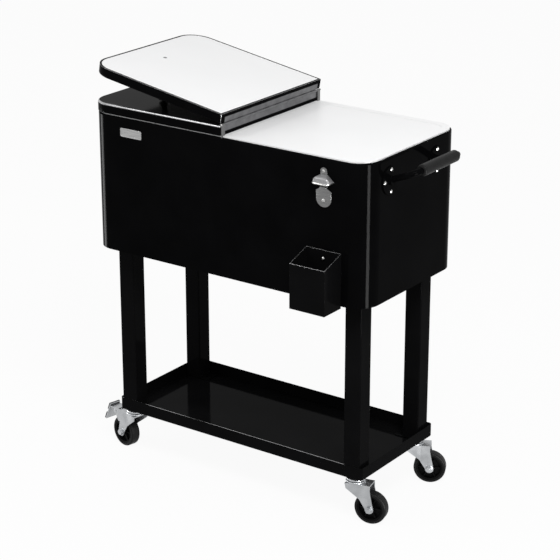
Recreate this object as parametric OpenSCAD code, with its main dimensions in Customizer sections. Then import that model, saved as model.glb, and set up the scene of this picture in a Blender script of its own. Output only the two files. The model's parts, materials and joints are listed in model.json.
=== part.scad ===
// Rolling cooler cart: an insulated tub on four legs over a lower shelf, with
// two half lids on one centre hinge, two side handles, a bottle opener with a
// cap catcher, and four swivel casters, two of them with a foot brake.
// X runs along the tub, Y from the front to the back and Z up. The origin is on
// the floor, under the middle of the whole cart's box.

/* [Tub] */
// Length of the tub, outside
tub_l = 750; // [640:1:860]
// Depth of the tub from front to back, outside
tub_w = 376; // [330:1:440]
// Height of the tub's steel shell
tub_h = 320; // [260:1:400]
// Corner radius of the shell, seen from above
tub_r = 52; // [44:1:70]
// Thickness of the painted sheet
sheet_t = 1; // [0.8:0.1:1.5]
// Radius of the shell's folded rim
rim_e = 3; // [2:0.5:4]
// Width of the rim's inward fold
rim_fold = 12; // [10:1:16]
// Height of the base pan's upturned edge
base_lip = 12; // [8:1:20]
// Underside of the tub above the floor
tub_z = 530; // [500:1:560]

/* [Liner and insulation] */
// Wall of the moulded liner
liner_t = 3; // [2:0.5:4]
// Foam between shell and liner, along the walls
foam_t = 29; // [26:1:34]
// Foam under the liner
base_foam = 22; // [15:1:30]
// Thickness of the liner's flange on the rim
flange_t = 3; // [2:0.5:4]
// Steel rim left bare outside the liner's flange
rim_show = 4; // [4:0.5:6]
// Radius where the liner's walls meet its floor
liner_e = 16; // [8:1:18]
// Width of the ledge that carries the inner cover
ledge_w = 10; // [8:1:14]
// Gap beside a piece that fills the space in another
fill_gap = 0.2; // [0.1:0.05:0.3]

/* [Inner cover] */
// Thickness of the flat cover that slides in the mouth
cover_t = 12; // [8:1:14]
// Length of the flat cover, which reaches a little past the middle
cover_l = 380; // [370:1:400]
// Gap round the inner cover
cover_gap = 0.4; // [0.3:0.1:0.8]

/* [Lids] */
// Height of each half lid
lid_h = 22.5; // [20:0.5:28]
// Overhang of the lids beyond the tub
lid_over = 1; // [0.5:0.5:5]
// Radius along the lid's top edge
lid_e = 4; // [3:0.5:6]
// Width of the hem folded under the skirt
hem_w = 5; // [4:0.5:7]
// Thickness of the white panel under the lid
panel_t = 3; // [2:0.5:4]
// Gap between the closed lids and the liner's flange
lid_gap = 0.4; // [0.3:0.1:1]
// Angle left between the lids when one is folded onto the other
fold_tilt = 9.5; // [8:0.1:11]

/* [Lid hinge] */
// Diameter of the hinge pin
pin_d = 3; // [2.5:0.5:3]
// Radius of the hinge barrel
barrel_r = 2.5; // [2.4:0.1:2.6]
// Height of the pin above the lids' tops
pin_lift = 2; // [2:0.1:2.4]
// Distance from the pin to each lid's end
end_gap = 2.1; // [2:0.1:2.4]
// Thickness of a hinge leaf
leaf_t = 1.2; // [1:0.1:1.3]
// Height of a hinge leaf
leaf_h = 16; // [10:1:17]
// Number of knuckles along the barrel
knuckles = 15; // [9:2:21]
// Gap between neighbouring knuckles
knuckle_gap = 0.6; // [0.4:0.1:1]
// Width of the post that holds each end of the pin
post_w = 10; // [8:1:14]
// Length of the post below the rim
post_root = 16; // [10:1:20]
// Radial running gap round the pin
pin_gap = 0.05; // [0.03:0.01:0.08]

/* [Lid knobs] */
// Distance from the hinge pin to the knob
knob_x = 300; // [220:1:300]
// Place of the knobs in front of the middle
knob_y = 14; // [0:1:40]
// Diameter of the knob's head
knob_d = 21; // [16:1:26]
// Diameter of the knob's neck
neck_d = 13; // [10:1:15]
// Radius of the knob's domed top
dome_r = 22; // [16:1:30]
// Diameter of the knob's screw
knob_screw_d = 4; // [3:0.5:5]
// Gap left between the two knobs when they meet
knob_gap = 0.3; // [0.2:0.1:0.6]

/* [Legs] */
// Side of the square leg tube
leg_a = 42; // [36:1:46]
// Wall of the leg tube
leg_t = 1.5; // [1.2:0.1:2.5]
// Corner radius of the leg tube
leg_r = 3; // [2:0.5:5]
// Distance from the cart's middle to a leg's centre, along the tub
leg_x = 317; // [260:0.5:320]
// Side of the plate on top of each leg
head_a = 64; // [56:1:70]
// Thickness of the plates on the legs
plate_t = 2.5; // [2:0.5:4]
// Length of the foot plate beyond the leg's inner face
foot_ext = 24; // [20:1:32]

/* [Shelf] */
// Length of the shelf tray
tray_l = 690; // [680:1:720]
// Depth of the shelf tray
tray_w = 302; // [280:1:330]
// Room left in the tray behind the back legs
tray_room = 10; // [0:1:20]
// Height of the tray's upturned edge
tray_h = 30; // [20:1:38]
// Thickness of the tray's sheet
tray_t = 1.2; // [1:0.1:2]
// Corner radius of the tray
tray_r = 8; // [6:0.5:12]
// Radius of the bend along the tray's bottom edge
tray_e = 2; // [1.5:0.1:2.5]
// Gap between a leg and the tray's edge
leg_gap = 0.5; // [0.3:0.1:3]

/* [Casters] */
// Height of the shelf's underside above the floor
caster_h = 108.5; // [104:0.5:118]
// Diameter of a wheel over the tyre
wheel_d = 75; // [68:1:80]
// Width of a wheel
wheel_w = 24; // [20:1:28]
// Thickness of the tyre
tyre_t = 7; // [5:0.5:9]
// Distance from the swivel axis to the axle
trail = 38; // [30:1:42]
// Diameter of the axle bolt
axle_d = 8; // [6:0.5:9]
// Thickness of the fork's sheet
fork_t = 2.5; // [2:0.5:3]
// Gap between wheel and fork
fork_gap = 2.5; // [2:0.5:4]
// Diameter of the stem in the leg
stem_d = 10; // [8:1:12]
// Length of the stem above the shelf's underside
stem_l = 28; // [20:1:40]
// Diameter of the swivel's race
race_d = 44; // [38:1:48]
// Height of the upper race
race_h = 9; // [7:0.5:12]
// Height of the lower race on the fork
low_race_h = 4; // [3:0.5:6]
// Width of the fork at its top, along the wheel
fork_w = 58; // [50:1:60]
// Reach of the fork's top in front of the swivel axis
fork_front = 19; // [16:1:22]
// Distance behind the swivel axis of the bend in the fork's sides
fold_x = 17; // [10:1:20]
// Angle by which the fork's sides spread in front of that bend
fold_splay = 8; // [0:1:12]
// Radius of the fork's sides round the axle
boss_r = 10; // [9:0.5:12]
// Turn of the front casters away from the cart's length
front_turn = 12; // [0:1:30]
// Turn of the back right caster away from the cart's length
back_turn = 25; // [0:1:40]

/* [Brake pedals] */
// Distance from the swivel axis to the pedal's pivot
pivot_x = 58; // [54:1:60]
// Height of the pedal's pivot above the top of the tyre
pivot_up = 12; // [10:0.5:12.5]
// Diameter of the pedal's pivot
pivot_d = 5; // [4:0.5:6]
// Reach of the brake shoe from the pivot
shoe_reach = 15.8; // [15:0.1:16]
// Width of the pedal
pedal_w = 30; // [24:1:36]
// Length of the pedal's tread
pedal_l = 48; // [36:1:52]
// Slope of the tread, down from level
pedal_slope = 66; // [50:1:75]
// Thickness of the pedal's metal
pedal_t = 2.5; // [2:0.5:3]
// Thickness of the black pad on the pedal
pad_t = 3; // [2:0.5:4]

/* [Side handles] */
// Distance from the tub's middle to each flange of the handle
flange_y = 93; // [88:1:110]
// Diameter of a handle's round flange
handle_flange_d = 62; // [54:1:70]
// Thickness of a handle's flange
handle_flange_t = 3; // [2:0.5:5]
// Height of the flanges' middle below the rim
handle_drop = 50.5; // [42:0.5:80]
// Circle of a flange's four screws
screw_pcd = 48.6; // [42:0.2:52]
// Diameter of the handle's bent tube
tube_d = 14; // [12:1:18]
// Diameter of the collar where the tube meets its flange
collar_d = 20; // [18:1:26]
// Length of that collar
collar_l = 9; // [7:1:14]
// Length of the grip on the tube
grip_l = 140; // [120:1:160]
// Diameter of the grip
grip_d = 26; // [22:1:32]
// Radius of the grip's rounded ends
grip_e = 5; // [2:0.5:8]
// Shift of the right handle to the front and of the left one to the back
handle_shift = 6; // [0:0.5:12]
// Distance from the tub's end to the grip's axis
grip_out = 62; // [50:1:75]
// Rise of the grip above the flanges' middle
grip_rise = 25.5; // [0:0.5:35]

/* [Screws] */
// Diameter of the small screws
screw_d = 4; // [3:0.5:5]
// Diameter of a small screw's head
screw_head_d = 8; // [7:0.5:9]
// Length of a small screw under its head
screw_l = 12; // [8:1:16]

/* [Bottle opener and cap catcher] */
// Place of opener and catcher from the middle of the front
opener_x = 269; // [150:1:280]
// Height of the opener from its foot to its lug
opener_h = 87; // [80:1:100]
// Distance from the rim down to the opener's top
opener_drop = 19; // [12:1:40]
// Width of the opener's lower plate
opener_w = 38; // [36:1:46]
// Width of the opener's hood where it meets the plate
hood_w = 59; // [50:1:62]
// Distance that the hood stands out
hood_out = 18; // [14:1:24]
// Thickness of the opener's metal
opener_t = 2.5; // [2:0.5:4]
// Width of the cap catcher
catcher_w = 90; // [70:1:110]
// Distance that the catcher stands out
catcher_d = 63; // [45:1:80]
// Height of the catcher's back wall
catcher_h = 124; // [90:1:160]
// Drop of the catcher's top edge from back to front
catcher_fall = 22; // [0:1:30]
// Wall of the catcher
catcher_t = 2; // [1.5:0.5:3]
// Distance that the catcher hangs below the tub
catcher_low = 5; // [0:1:20]

/* [Drain] */
// Distance from the cart's middle to the drain
drain_x = 230; // [150:1:250]
// Diameter of the drain tube
drain_d = 22; // [18:1:26]
// Bore of the drain tube
drain_bore = 16; // [12:1:16]
// Diameter of the drain's flange in the liner
drain_flange_d = 38; // [32:1:44]
// Thickness of that flange
drain_flange_t = 1.5; // [1:0.1:2]
// Length of the drain tube below the tub
drain_low = 24; // [18:1:32]
// Diameter of the drain's nut and cap
drain_cap_d = 32; // [28:1:40]
// Height of the drain's cap
drain_cap_h = 16; // [12:1:20]

/* [Hidden] */

// Smoothness of large and small round shapes, and of a hull's own children.
big_fn = 96;
small_fn = 48;
// A small overlap that lets a cut pass clean through a face.
cut = 1;

// The catcher stands out in front and the lids overhang at the back, so the
// tub's middle lies a little behind the origin.
mid_y = (catcher_d - lid_over) / 2;

// Levels from the floor up.
rim_z = tub_z + tub_h;
seat_z = rim_z + flange_t;
lid_z = seat_z + lid_gap;
lid_top = lid_z + lid_h;
pin_z = lid_top + pin_lift;
floor_z = caster_h + tray_t;
open_angle = 180 - fold_tilt;

// The liner: its flange, the ledge round its mouth, and its cavity.
liner_l = tub_l - 2 * (sheet_t + foam_t);
liner_w = tub_w - 2 * (sheet_t + foam_t);
liner_r = tub_r - sheet_t - foam_t;
mouth_l = liner_l - 2 * liner_t;
mouth_w = liner_w - 2 * liner_t;
mouth_r = liner_r - liner_t;
ledge_l = mouth_l + 2 * ledge_w;
ledge_d = mouth_w + 2 * ledge_w;
ledge_r = mouth_r + ledge_w;
ledge_z = seat_z - cover_t - fill_gap;
liner_z = tub_z + sheet_t + base_foam;
liner_floor = liner_z + liner_t;

// The lids, as if both were one closed slab.
lids_l = tub_l + 2 * lid_over;
lids_w = tub_w + 2 * lid_over;
lids_r = tub_r + lid_over;

// Knobs that meet when one lid lies on the other.
half_tilt = fold_tilt / 2;
knob_h = pin_lift + knob_x * tan(half_tilt)
    - (knob_gap / 2 + dome_r * (1 - cos(half_tilt))) / cos(half_tilt);

// The knob's screw comes up from below, its head sunk in the panel.
knob_screw_in = 12;
screw_cup_d = 9;
screw_cup_h = 2.6;

// The hinge: knuckles between the two posts.
post_y = tub_w / 2 - sheet_t - post_w / 2;
barrel_l = 2 * (post_y - post_w / 2 - knuckle_gap);
knuckle_l = barrel_l / knuckles;
leaf_x = end_gap - leaf_t;
post_t = 2 * end_gap - 1.2;

// Legs stand inside the tray's corners.
leg_y = (tray_w - tray_room) / 2 - tray_t - leg_gap - leg_a / 2;
bolt_in = 7;
leg_bolt_d = 6;
bolt_head_d = 10;
bolt_head_h = 4;
tray_bolt_in = leg_a / 2 + 9;

// The side handles: a bent tube in a plane that rises from the flanges.
handle_z = rim_z - handle_drop;
handle_tilt = atan(grip_rise / grip_out);
handle_reach = sqrt(grip_out * grip_out + grip_rise * grip_rise);
bend_r = flange_y - grip_l / 2;
screw_hole_d = screw_d + 0.4;

// Opener and catcher on the front face.
opener_z = rim_z - opener_drop - opener_h;
lug_w = 16;
lug_screw_z = opener_h - lug_w / 2;
foot_screw_z = opener_w / 2 - 4;
shoulder_z = 36;
neck_z = 42;
hood_top = 70;
hood_side = 57.5;
hood_lip = 50.5;
lip_w = 40;
lip_d = 3.4;
hood_t = 2.4;
tooth_w = 14;
tooth_z = 43;
point_a = 0.02;
catcher_z = tub_z - catcher_low;
catcher_screw_z = catcher_h - 20;

// The drain through the floor near the left end.
drain_nut_h = 6;
cap_floor = 3;

// Caster levels, measured down from the shelf's underside.
axle_drop = caster_h - wheel_d / 2;
pivot_drop = caster_h - wheel_d - pivot_up;
ear_low = 26;
swivel_gap = 0.3;
low_race_z = -race_h - swivel_gap;
fork_z = low_race_z - low_race_h;
fork_in = wheel_w / 2 + fork_gap;
knee_in = 24;
knee_up = 22;
ear_r = pivot_d / 2 + 4.5;
rivet_d = 18;
rivet_h = 3;
hub_d = wheel_d - 2 * tyre_t;
nut_h = 6;
stem_boss_d = 18;

// The brake: a level arm, a tread across its end, and a shoe over the tyre.
arm_l = 26;
tread_up = 5;
shoe_angle = 78;

module placed() translate([0, mid_y, 0]) children();

// Copies the children to four places round the middle.
module at_four(dx, dy) {
    for (sx = [-1, 1], sy = [-1, 1]) translate([sx * dx, sy * dy, 0]) children();
}

module rounded_rect(l, w, r) {
    square([l - 2 * r, w], center = true);
    square([l, w - 2 * r], center = true);
    at_four(l / 2 - r, w / 2 - r) circle(r = r, $fn = big_fn);
}

// A slab with round corners whose upper outer edge is rounded too. Its middle,
// its sides and its corners meet on flat faces.
module edge_profile(r, h, e) {
    square([r, h - e]);
    square([r - e, h]);
    intersection() {
        translate([r - e, h - e]) circle(r = e, $fn = small_fn);
        square([r, h]);
    }
}
module soft_slab(l, w, r, h, e) {
    dx = l / 2 - r;
    dy = w / 2 - r;
    translate([-dx, -dy, 0]) cube([2 * dx, 2 * dy, h]);
    for (a = [0, 180]) rotate([0, 0, a]) {
        translate([dx, dy, 0]) rotate([90, 0, 0]) linear_extrude(2 * dy) edge_profile(r, h, e);
        translate([-dx, dy, 0]) rotate([90, 0, 90]) linear_extrude(2 * dx) edge_profile(r, h, e);
        translate([dx, dy, 0]) rotate_extrude(angle = 90, $fn = big_fn) edge_profile(r, h, e);
        translate([-dx, dy, 0]) rotate([0, 0, 90]) rotate_extrude(angle = 90, $fn = big_fn)
            edge_profile(r, h, e);
    }
}

// A hole or shank along X or Y, starting at the given point.
module along_x(d, h) rotate([0, 90, 0]) cylinder(h = h, d = d, $fn = small_fn);
module along_y(d, h) rotate([-90, 0, 0]) cylinder(h = h, d = d, $fn = small_fn);

// A button head screw along Z, its head's underside at z = 0.
module small_screw(l) {
    head_h = screw_head_d * 0.3;
    difference() {
        rotate_extrude($fn = small_fn) polygon([
            [0, 0], [screw_head_d / 2, 0], [screw_head_d / 2, head_h * 0.4],
            [screw_head_d / 3, head_h], [0, head_h]
        ]);
        translate([0, 0, head_h * 0.4]) cylinder(h = head_h, d = screw_d * 0.6, $fn = 6);
    }
    translate([0, 0, -l]) cylinder(h = l, d = screw_d, $fn = small_fn);
}

// Where the side handles, the opener and the catcher are screwed on.
module at_flange_screws(side) {
    for (sy = [-1, 1], a = [0, 90, 180, 270])
        translate([side * tub_l / 2, sy * flange_y - side * handle_shift, handle_z])
            rotate([a, 0, 0]) translate([0, 0, screw_pcd / 2]) children();
}
module at_opener_screws() {
    for (z = [foot_screw_z, lug_screw_z])
        translate([opener_x, -tub_w / 2, opener_z + z]) children();
}
module at_catcher_screw() {
    translate([opener_x, -tub_w / 2, catcher_z + catcher_screw_z]) children();
}

// The holes that the screws need in the shell and in the foam behind it.
module screw_holes(d, deep) {
    for (side = [-1, 1]) at_flange_screws(side)
        translate([-deep, 0, 0]) along_x(d, 2 * deep);
    at_opener_screws() translate([0, -deep, 0]) along_y(d, 2 * deep);
    at_catcher_screw() translate([0, -deep, 0]) along_y(d, 2 * deep);
}
module leg_bolt_holes(d, z, h) {
    at_four(leg_x, leg_y) at_four(head_a / 2 - bolt_in, head_a / 2 - bolt_in)
        translate([0, 0, z]) cylinder(h = h, d = d, $fn = small_fn);
}
module post_slots(gap) {
    for (s = [-1, 1]) translate([0, s * post_y, pin_z - barrel_r])
        cube([post_t + 2 * gap, post_w + 2 * gap, 2 * (pin_z - barrel_r - rim_z + post_root + gap)],
            center = true);
}
module drain_hole(d) {
    translate([-drain_x, 0, tub_z - cut])
        cylinder(h = liner_floor - tub_z + 2 * cut, d = d, $fn = small_fn);
}

module tub_shell() placed() color("#101012") difference() {
    translate([0, 0, tub_z]) difference() {
        soft_slab(tub_l, tub_w, tub_r, tub_h, rim_e);
        translate([0, 0, -cut]) soft_slab(tub_l - 2 * sheet_t, tub_w - 2 * sheet_t,
            tub_r - sheet_t, tub_h - sheet_t + cut, rim_e - sheet_t);
        linear_extrude(tub_h + cut)
            rounded_rect(tub_l - 2 * rim_fold, tub_w - 2 * rim_fold, tub_r - rim_fold);
    }
    screw_holes(screw_hole_d, 2 * sheet_t);
    post_slots(fill_gap);
}

module tub_base() placed() color("#161618") difference() {
    l = tub_l - 2 * sheet_t;
    w = tub_w - 2 * sheet_t;
    r = tub_r - sheet_t;
    translate([0, 0, tub_z]) linear_extrude(base_lip) rounded_rect(l, w, r);
    translate([0, 0, tub_z + sheet_t]) linear_extrude(base_lip)
        rounded_rect(l - 2 * sheet_t, w - 2 * sheet_t, r - sheet_t);
    leg_bolt_holes(leg_bolt_d + 0.4, tub_z - cut, sheet_t + 2 * cut);
    drain_hole(drain_d + 2 * fill_gap);
}

module insulation() placed() color("#e8dfc4") difference() {
    translate([0, 0, tub_z + sheet_t]) linear_extrude(tub_h - 2 * sheet_t - fill_gap)
        rounded_rect(tub_l - 4 * sheet_t - 2 * fill_gap, tub_w - 4 * sheet_t - 2 * fill_gap,
            tub_r - 2 * sheet_t - fill_gap);
    translate([0, 0, liner_z]) linear_extrude(tub_h)
        rounded_rect(liner_l + 2 * fill_gap, liner_w + 2 * fill_gap, liner_r + fill_gap);
    translate([0, 0, ledge_z - liner_t - fill_gap]) linear_extrude(tub_h)
        rounded_rect(ledge_l + 2 * liner_t + 2 * fill_gap, ledge_d + 2 * liner_t + 2 * fill_gap,
            ledge_r + liner_t + fill_gap);
    screw_holes(screw_hole_d, screw_l + sheet_t);
    leg_bolt_holes(leg_bolt_d + 0.4, tub_z, screw_l + 2 * cut);
    drain_hole(drain_d + 2 * fill_gap);
    post_slots(fill_gap);
}

// The moulded liner, with a ledge round its mouth for the inner cover.
module liner() placed() color("#f4f4f2") difference() {
    union() {
        translate([0, 0, liner_z]) linear_extrude(ledge_z - liner_z)
            rounded_rect(liner_l, liner_w, liner_r);
        translate([0, 0, ledge_z - liner_t]) linear_extrude(seat_z - ledge_z + liner_t)
            rounded_rect(ledge_l + 2 * liner_t, ledge_d + 2 * liner_t, ledge_r + liner_t);
        translate([0, 0, rim_z]) linear_extrude(flange_t)
            rounded_rect(tub_l - 2 * rim_show, tub_w - 2 * rim_show, tub_r - rim_show);
    }
    translate([0, 0, ledge_z + cut]) rotate([180, 0, 0])
        soft_slab(mouth_l, mouth_w, mouth_r, ledge_z + cut - liner_floor, liner_e);
    translate([0, 0, ledge_z]) linear_extrude(tub_h) rounded_rect(ledge_l, ledge_d, ledge_r);
    drain_hole(drain_d + 2 * fill_gap);
    translate([-drain_x, 0, liner_floor - drain_flange_t])
        cylinder(h = liner_e, d = drain_flange_d + 2 * fill_gap, $fn = small_fn);
    post_slots(fill_gap);
}

// The flat cover lies on the ledge over the right half and slides to the left.
module inner_cover() placed() color("#fbfbfa")
    translate([ledge_l / 2 - cover_gap - cover_l / 2, 0, ledge_z]) linear_extrude(cover_t)
        rounded_rect(cover_l, ledge_d - 2 * cover_gap, ledge_r - cover_gap);

// Two flat posts on the tub carry the ends of the hinge pin.
module hinge_posts() placed() color("#c8cacc") for (s = [-1, 1])
    translate([0, s * post_y, 0]) difference() {
        union() {
            translate([-post_t / 2, -post_w / 2, rim_z - post_root])
                cube([post_t, post_w, pin_z - rim_z + post_root]);
            translate([0, -post_w / 2, pin_z]) along_y(2 * barrel_r, post_w);
        }
        translate([0, -post_w / 2 - cut, pin_z]) along_y(pin_d + 2 * pin_gap, post_w + 2 * cut);
    }

module hinge_pin() placed() color("#d9dadb") translate([0, 0, pin_z]) {
    head_w = 1.6;
    reach = post_y + post_w / 2 + 0.2;
    translate([0, -reach, 0]) along_y(pin_d, 2 * reach);
    for (s = [-1, 1]) translate([0, s * reach, 0]) rotate([-90 * s, 0, 0]) rotate_extrude($fn = small_fn)
        polygon([[0, 0], [barrel_r, 0], [barrel_r, head_w * 0.5], [barrel_r * 0.6, head_w], [0, head_w]]);
}

// One half of a slab that covers the whole tub; the other half is its mirror.
module right_half(inset, z, h, e) intersection() {
    translate([0, 0, z])
        soft_slab(lids_l - 2 * inset, lids_w - 2 * inset, lids_r - inset, h, e);
    translate([end_gap + inset, -lids_w, z - cut]) cube([lids_l, 2 * lids_w, h + 2 * cut]);
}
module right_half_flat(inset, z, h) intersection() {
    translate([0, 0, z]) linear_extrude(h)
        rounded_rect(lids_l - 2 * inset, lids_w - 2 * inset, lids_r - inset);
    translate([end_gap + inset, -lids_w, z - cut]) cube([lids_l, 2 * lids_w, h + 2 * cut]);
}

// The lid pieces are drawn closed over the right half of the tub.
module lid_skin() difference() {
    right_half(0, lid_z, lid_h, lid_e);
    right_half(sheet_t, lid_z + sheet_t, lid_h - 2 * sheet_t, lid_e - sheet_t);
    right_half_flat(hem_w, lid_z - cut, lid_h / 2);
    translate([knob_x, -knob_y, lid_z]) cylinder(h = 2 * lid_h, d = knob_screw_d + 0.4, $fn = small_fn);
}
module lid_panel() difference() {
    union() {
        right_half_flat(sheet_t + fill_gap, lid_z + sheet_t, panel_t);
        right_half_flat(hem_w + fill_gap, lid_z + fill_gap, sheet_t + panel_t - fill_gap);
    }
    translate([knob_x, -knob_y, lid_z]) {
        cylinder(h = lid_h, d = knob_screw_d + 0.4, $fn = small_fn);
        translate([0, 0, -cut]) cylinder(h = cut + screw_cup_h, d = screw_cup_d, $fn = small_fn);
    }
}
module lid_foam() difference() {
    z = lid_z + sheet_t + panel_t;
    right_half(sheet_t + fill_gap, z, lid_top - sheet_t - fill_gap - z, lid_e - sheet_t);
    translate([knob_x, -knob_y, lid_z]) cylinder(h = lid_h, d = knob_screw_d + 0.4, $fn = small_fn);
}

// A leaf of the piano hinge on the lid's end face, with every second knuckle.
module hinge_leaf(first) difference() {
    leaf_top = pin_z - barrel_r - knuckle_gap;
    union() {
        translate([leaf_x, -barrel_l / 2, pin_z - leaf_h])
            cube([leaf_t, barrel_l, leaf_top - pin_z + leaf_h]);
        for (i = [first:2:knuckles - 1]) translate([0, (i + 0.5) * knuckle_l - barrel_l / 2, pin_z]) {
            w = knuckle_l - knuckle_gap;
            translate([leaf_x, -w / 2, leaf_top - pin_z - cut]) cube([leaf_t, w, pin_z - leaf_top + cut]);
            translate([0, -w / 2, 0]) along_y(2 * barrel_r, w);
        }
    }
    translate([0, -barrel_l / 2 - cut, pin_z]) along_y(pin_d + 2 * pin_gap, barrel_l + 2 * cut);
}

// A knob on the lid. The two knobs meet when one lid lies on the other.
module lid_knob() translate([knob_x, -knob_y, lid_top]) difference() {
    edge_z = knob_h - dome_r + sqrt(dome_r * dome_r - knob_d * knob_d / 4);
    intersection() {
        union() {
            cylinder(h = knob_h, d = neck_d, $fn = small_fn);
            cylinder(h = 2.5, d = neck_d + 4, $fn = small_fn);
            translate([0, 0, edge_z - 9]) cylinder(h = 3.6, d1 = neck_d, d2 = knob_d, $fn = small_fn);
            translate([0, 0, edge_z - 5.5]) cylinder(h = knob_h, d = knob_d, $fn = small_fn);
        }
        translate([0, 0, knob_h - dome_r]) sphere(r = dome_r, $fn = big_fn);
        cylinder(h = knob_h + cut, d = knob_d, $fn = small_fn);
    }
    translate([0, 0, -cut]) cylinder(h = knob_screw_in + cut + 0.5, d = knob_screw_d + 0.1, $fn = small_fn);
}
module knob_screw() translate([knob_x, -knob_y, lid_z + fill_gap]) {
    cylinder(h = lid_h - fill_gap + knob_screw_in, d = knob_screw_d, $fn = small_fn);
    difference() {
        cylinder(h = screw_cup_h - fill_gap, d = screw_cup_d - 0.4, $fn = small_fn);
        translate([0, 0, -cut]) cylinder(h = cut + 1, d = knob_screw_d * 0.7, $fn = 6);
    }
}

// The photograph's stand: the left lid closed, the right lid folded over it.
module shut_left() mirror([1, 0, 0]) children();
module folded_right()
    translate([0, 0, pin_z]) rotate([0, -open_angle, 0]) translate([0, 0, -pin_z]) children();

module left_lid_skin() placed() color("#0e0e10") shut_left() lid_skin();
module left_lid_foam() placed() color("#e8dfc4") shut_left() lid_foam();
module left_lid_panel() placed() color("#f4f4f2") shut_left() lid_panel();
module left_hinge_leaf() placed() color("#1c1c1e") shut_left() hinge_leaf(0);
module left_lid_knob() placed() color("#141414") shut_left() lid_knob();
module left_knob_screw() placed() color("#9a9c9e") shut_left() knob_screw();
module right_lid_skin() placed() color("#0e0e10") folded_right() lid_skin();
module right_lid_foam() placed() color("#e8dfc4") folded_right() lid_foam();
module right_lid_panel() placed() color("#f4f4f2") folded_right() lid_panel();
module right_hinge_leaf() placed() color("#1c1c1e") folded_right() hinge_leaf(1);
module right_lid_knob() placed() color("#141414") folded_right() lid_knob();
module right_knob_screw() placed() color("#9a9c9e") folded_right() knob_screw();

// A leg: a square tube between a plate under the tub and a foot on the tray.
module leg(sx, sy) placed() color("#121214") translate([sx * leg_x, sy * leg_y, 0]) difference() {
    foot_w = leg_a - 4;
    tube_z = floor_z + plate_t;
    union() {
        translate([0, 0, tube_z]) linear_extrude(tub_z - plate_t - tube_z) difference() {
            rounded_rect(leg_a, leg_a, leg_r);
            rounded_rect(leg_a - 2 * leg_t, leg_a - 2 * leg_t, leg_r - leg_t);
        }
        translate([0, 0, tub_z - plate_t]) linear_extrude(plate_t)
            rounded_rect(head_a, head_a, leg_r);
        translate([-sx * foot_ext / 2, 0, floor_z]) linear_extrude(plate_t)
            rounded_rect(foot_w + foot_ext, foot_w, leg_r);
        translate([0, 0, floor_z]) cylinder(h = stem_l, d = stem_boss_d, $fn = small_fn);
    }
    translate([0, 0, floor_z - cut])
        cylinder(h = stem_l + 2 * cut, d = stem_d + 2 * pin_gap, $fn = small_fn);
    at_four(head_a / 2 - bolt_in, head_a / 2 - bolt_in) translate([0, 0, tub_z - plate_t - cut])
        cylinder(h = plate_t + 2 * cut, d = leg_bolt_d + 0.4, $fn = small_fn);
    translate([-sx * tray_bolt_in, 0, floor_z - cut])
        cylinder(h = plate_t + 2 * cut, d = leg_bolt_d + 0.4, $fn = small_fn);
}
module leg_front_left() leg(-1, -1);
module leg_front_right() leg(1, -1);
module leg_back_left() leg(-1, 1);
module leg_back_right() leg(1, 1);

// Hex bolts up through the legs' head plates into the base pan.
module leg_bolts() placed() color("#a2a4a6")
    at_four(leg_x, leg_y) at_four(head_a / 2 - bolt_in, head_a / 2 - bolt_in)
        translate([0, 0, tub_z - plate_t]) {
            translate([0, 0, -bolt_head_h]) cylinder(h = bolt_head_h, d = bolt_head_d, $fn = 6);
            cylinder(h = plate_t + screw_l, d = leg_bolt_d, $fn = small_fn);
        }

// The tray is one sheet, bent up all round, that the legs stand in.
module shelf_tray() placed() color("#101012") difference() {
    translate([0, tray_room / 2, caster_h + tray_h]) mirror([0, 0, 1])
        soft_slab(tray_l, tray_w, tray_r, tray_h, tray_e);
    translate([0, tray_room / 2, floor_z]) linear_extrude(tray_h)
        rounded_rect(tray_l - 2 * tray_t, tray_w - 2 * tray_t, tray_r - tray_t);
    at_four(leg_x, leg_y) translate([0, 0, caster_h - cut])
        cylinder(h = tray_t + 2 * cut, d = stem_d + 0.4, $fn = small_fn);
    at_four(leg_x - tray_bolt_in, leg_y) translate([0, 0, caster_h - cut])
        cylinder(h = tray_t + 2 * cut, d = leg_bolt_d + 0.4, $fn = small_fn);
}
module tray_bolts() placed() color("#a2a4a6") at_four(leg_x - tray_bolt_in, leg_y) {
    translate([0, 0, floor_z + plate_t]) rotate_extrude($fn = small_fn)
        polygon([[0, 0], [bolt_head_d / 2, 0], [bolt_head_d / 2, 1.2],
            [bolt_head_d / 3, bolt_head_h * 0.7], [0, bolt_head_h * 0.7]]);
    translate([0, 0, caster_h - bolt_head_h - 2])
        cylinder(h = bolt_head_h + 2 + tray_t + plate_t, d = leg_bolt_d, $fn = small_fn);
    translate([0, 0, caster_h - bolt_head_h]) cylinder(h = bolt_head_h, d = bolt_head_d, $fn = 6);
}

// A side handle: two round flanges and a tube bent between them.
module handle(side) placed() color("#151517") translate([side * tub_l / 2, -side * handle_shift, handle_z])
    rotate([0, 0, side > 0 ? 0 : 180]) difference() {
        union() {
            for (s = [-1, 1]) translate([0, s * flange_y, 0]) {
                along_x(handle_flange_d, handle_flange_t);
                along_x(collar_d, collar_l);
            }
            rotate([0, -handle_tilt, 0]) {
                start = tube_d / 2;
                for (s = [-1, 1]) translate([start, s * flange_y, 0])
                    along_x(tube_d, handle_reach - bend_r - start);
                translate([handle_reach, -grip_l / 2, 0]) along_y(tube_d, grip_l);
                for (s = [-1, 1]) translate([handle_reach - bend_r, s * grip_l / 2, 0])
                    rotate([0, 0, s > 0 ? 0 : -90]) rotate_extrude(angle = 90, $fn = small_fn)
                        translate([bend_r, 0]) circle(d = tube_d, $fn = small_fn);
            }
        }
        for (s = [-1, 1], a = [0, 90, 180, 270]) translate([-cut, s * flange_y, 0]) rotate([a, 0, 0])
            translate([0, 0, screw_pcd / 2]) along_x(screw_hole_d, handle_flange_t + 2 * cut);
    }
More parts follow.
